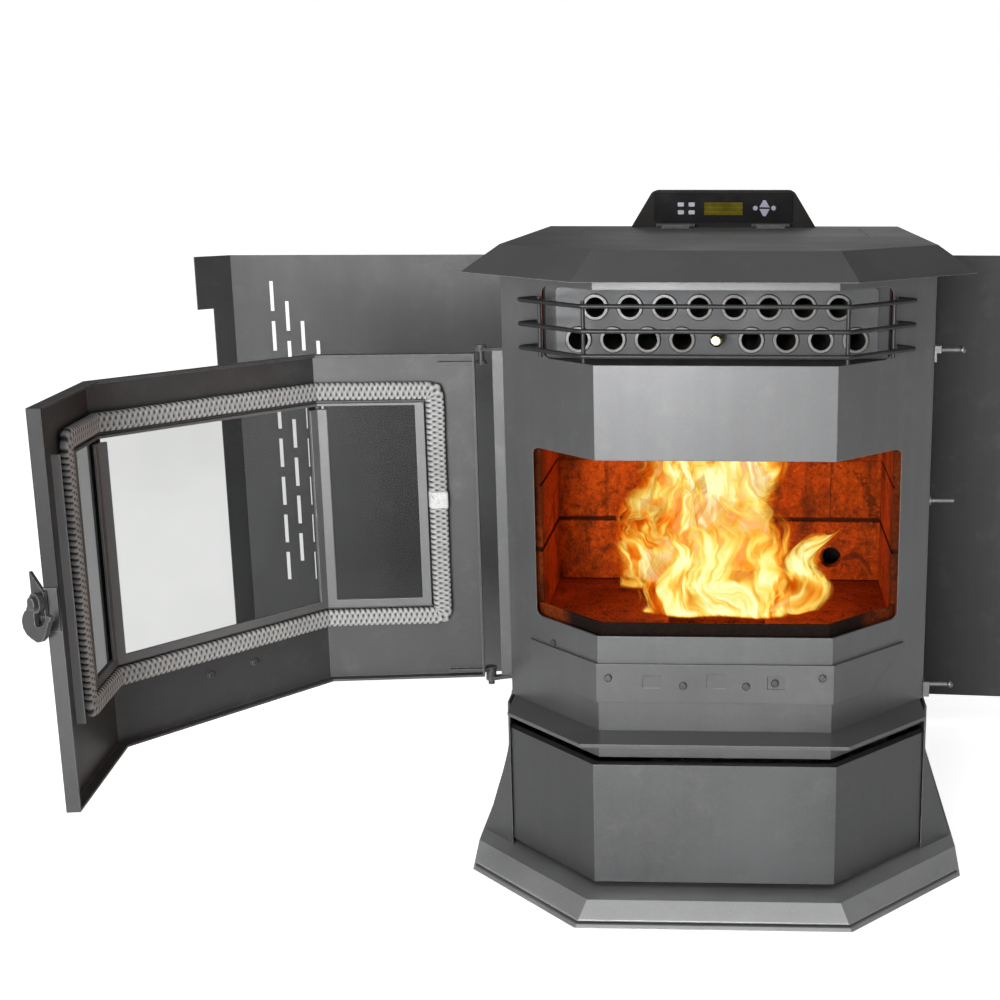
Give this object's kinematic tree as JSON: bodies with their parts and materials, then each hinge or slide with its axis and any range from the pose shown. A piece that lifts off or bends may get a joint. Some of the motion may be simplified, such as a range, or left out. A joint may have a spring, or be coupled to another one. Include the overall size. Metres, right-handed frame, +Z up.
{
  "type": "pellet stove",
  "caption": "Bay-fronted pellet stove with a glazed swing door, hinged side panels, ash drawer, heat tubes and a rear pellet hopper with auger feed.",
  "frame": {"origin": "on the floor under the middle of the plinth", "axes": "+Z up, +X to the viewer's right, +Y to the rear where the flue leaves; the glazed front faces -Y"},
  "size_m": [1.5634, 0.9441, 0.843],
  "materials": {
    "body_paint": "satin heat-resistant paint",
    "trim_paint": "satin heat-resistant paint, lighter",
    "plinth_paint": "satin paint",
    "panel_paint": "satin paint",
    "firebox_steel": "sooty heat-resistant paint",
    "firebrick": "rough",
    "galvanised": "dull zinc",
    "tube_steel": "heat-tinted",
    "zinc_hardware": "zinc plated",
    "iron_pot": "as cast",
    "motor_black": "satin",
    "pod_plastic": "fine texture",
    "key_plastic": "satin",
    "nav_plastic": "satin",
    "display_window": "gloss, olive-amber",
    "circuit_board": "satin",
    "door_glass": "clear ceramic glass",
    "rope_gasket": "woven rope",
    "brass": "polished"
  },
  "bodies": {
    "stove": {"base_plinth": "plinth_paint", "pedestal_shell": "body_paint", "ledge_plate": "body_paint", "body_front": "body_paint", "body_left_side": "body_paint", "body_right_side": "body_paint", "rear_panel": "galvanised", "outlet_box": "body_paint", "tube_face_plate": "trim_paint", "heat_tubes": "tube_steel", "outlet_guard": "trim_paint", "firebox_shell": "firebox_steel", "brick_back": "firebrick", "side_bricks": "firebrick", "burn_pot_seat": "firebox_steel", "igniter": "zinc_hardware", "auger_tube": "galvanised", "hopper": "galvanised", "auger_motor": "motor_black", "convection_blower": "galvanised", "rear_air_duct": "galvanised", "exhaust_blower": "galvanised", "air_intake_pipe": "galvanised", "power_inlet": "pod_plastic", "band_plate": "trim_paint", "face_bolts": "zinc_hardware", "top_plate": "body_paint", "pod_housing": "pod_plastic", "pod_face": "pod_plastic", "pod_display": "display_window", "control_board": "circuit_board", "hinge_post": "trim_paint", "side_catch_pins": "zinc_hardware"},
    "fire_door": {"door_frame": "trim_paint", "door_glass_centre": "door_glass", "door_glass_hinge_side": "door_glass", "door_glass_latch_side": "door_glass", "glass_retainer": "trim_paint", "door_gasket": "rope_gasket", "latch_bracket": "trim_paint"},
    "latch": {"latch_handle": "trim_paint"},
    "left_panel": {"side_panel_left": "panel_paint"},
    "right_panel": {"side_panel_right": "panel_paint"},
    "hatch": {"hopper_lid": "body_paint"},
    "ash_drawer": {"ash_drawer_front": "body_paint", "ash_drawer_pan": "galvanised"},
    "scraper": {"tube_scraper": "tube_steel", "scraper_knob": "brass"},
    "pot": {"burn_pot": "iron_pot"},
    "auger": {"auger_screw": "zinc_hardware"},
    "room_air_wheel": {"convection_wheel": "galvanised"},
    "exhaust_wheel": {"exhaust_impeller": "galvanised"},
    "key_upper_left_body": {"key_upper_left": "key_plastic"},
    "key_upper_right_body": {"key_upper_right": "key_plastic"},
    "key_lower_left_body": {"key_lower_left": "key_plastic"},
    "key_lower_right_body": {"key_lower_right": "key_plastic"},
    "nav_up_body": {"nav_up": "nav_plastic"},
    "nav_down_body": {"nav_down": "nav_plastic"},
    "nav_left_body": {"nav_left": "nav_plastic"},
    "nav_right_body": {"nav_right": "nav_plastic"}
  },
  "joints": [
    {"name": "fire_door_hinge", "type": "hinge", "parent": "stove", "child": "fire_door", "pos_m": [-0.289, -0.133, 0.45], "axis": [0, 0, 1], "range_deg": [0, 128]},
    {"name": "latch_pivot", "type": "hinge", "parent": "fire_door", "child": "latch", "pos_m": [-0.6524, -0.57166, 0.469], "axis": [-0.6157, -0.788, 0], "range_deg": [0, 75]},
    {"name": "left_panel_hinge", "type": "hinge", "parent": "stove", "child": "left_panel", "pos_m": [-0.303, 0.341, 0.4], "axis": [0, 0, 1], "range_deg": [0, 86]},
    {"name": "right_panel_hinge", "type": "hinge", "parent": "stove", "child": "right_panel", "pos_m": [0.303, 0.341, 0.4], "axis": [0, 0, -1], "range_deg": [0, 86]},
    {"name": "hopper_lid_hinge", "type": "hinge", "parent": "stove", "child": "hatch", "pos_m": [0, 0.2915, 0.7923], "axis": [-1, 0, 0], "range_deg": [0, 80]},
    {"name": "ash_drawer_slide", "type": "slide", "parent": "stove", "child": "ash_drawer", "axis": [0, -1, 0], "range_m": [0, 0.3]},
    {"name": "tube_scraper_slide", "type": "slide", "parent": "stove", "child": "scraper", "axis": [0, -1, 0], "range_m": [0, 0.115]},
    {"name": "burn_pot_lift", "type": "slide", "parent": "stove", "child": "pot", "axis": [0, 0, 1], "range_m": [0, 0.06]},
    {"name": "auger_turn", "type": "hinge", "parent": "stove", "child": "auger", "pos_m": [0, 0.235, 0.33], "axis": [0, -0.7071, 0.7071], "continuous": true},
    {"name": "room_air_wheel_spin", "type": "hinge", "parent": "stove", "child": "room_air_wheel", "pos_m": [-0.175, 0.113, 0.33], "axis": [1, 0, 0], "continuous": true},
    {"name": "exhaust_wheel_spin", "type": "hinge", "parent": "stove", "child": "exhaust_wheel", "pos_m": [0.15, 0.12, 0.366], "axis": [0, 1, 0], "continuous": true},
    {"name": "key_upper_left_press", "type": "slide", "parent": "stove", "child": "key_upper_left_body", "axis": [0, 1, 0], "range_m": [0, 0.0008], "stiffness_N_per_m": 600, "springref_m": -0.0006},
    {"name": "key_upper_right_press", "type": "slide", "parent": "stove", "child": "key_upper_right_body", "axis": [0, 1, 0], "range_m": [0, 0.0008], "stiffness_N_per_m": 600, "springref_m": -0.0006},
    {"name": "key_lower_left_press", "type": "slide", "parent": "stove", "child": "key_lower_left_body", "axis": [0, 1, 0], "range_m": [0, 0.0008], "stiffness_N_per_m": 600, "springref_m": -0.0006},
    {"name": "key_lower_right_press", "type": "slide", "parent": "stove", "child": "key_lower_right_body", "axis": [0, 1, 0], "range_m": [0, 0.0008], "stiffness_N_per_m": 600, "springref_m": -0.0006},
    {"name": "nav_up_press", "type": "slide", "parent": "stove", "child": "nav_up_body", "axis": [0, 1, 0], "range_m": [0, 0.0008], "stiffness_N_per_m": 600, "springref_m": -0.0006},
    {"name": "nav_down_press", "type": "slide", "parent": "stove", "child": "nav_down_body", "axis": [0, 1, 0], "range_m": [0, 0.0008], "stiffness_N_per_m": 600, "springref_m": -0.0006},
    {"name": "nav_left_press", "type": "slide", "parent": "stove", "child": "nav_left_body", "axis": [0, 1, 0], "range_m": [0, 0.0008], "stiffness_N_per_m": 600, "springref_m": -0.0006},
    {"name": "nav_right_press", "type": "slide", "parent": "stove", "child": "nav_right_body", "axis": [0, 1, 0], "range_m": [0, 0.0008], "stiffness_N_per_m": 600, "springref_m": -0.0006}
  ]
}
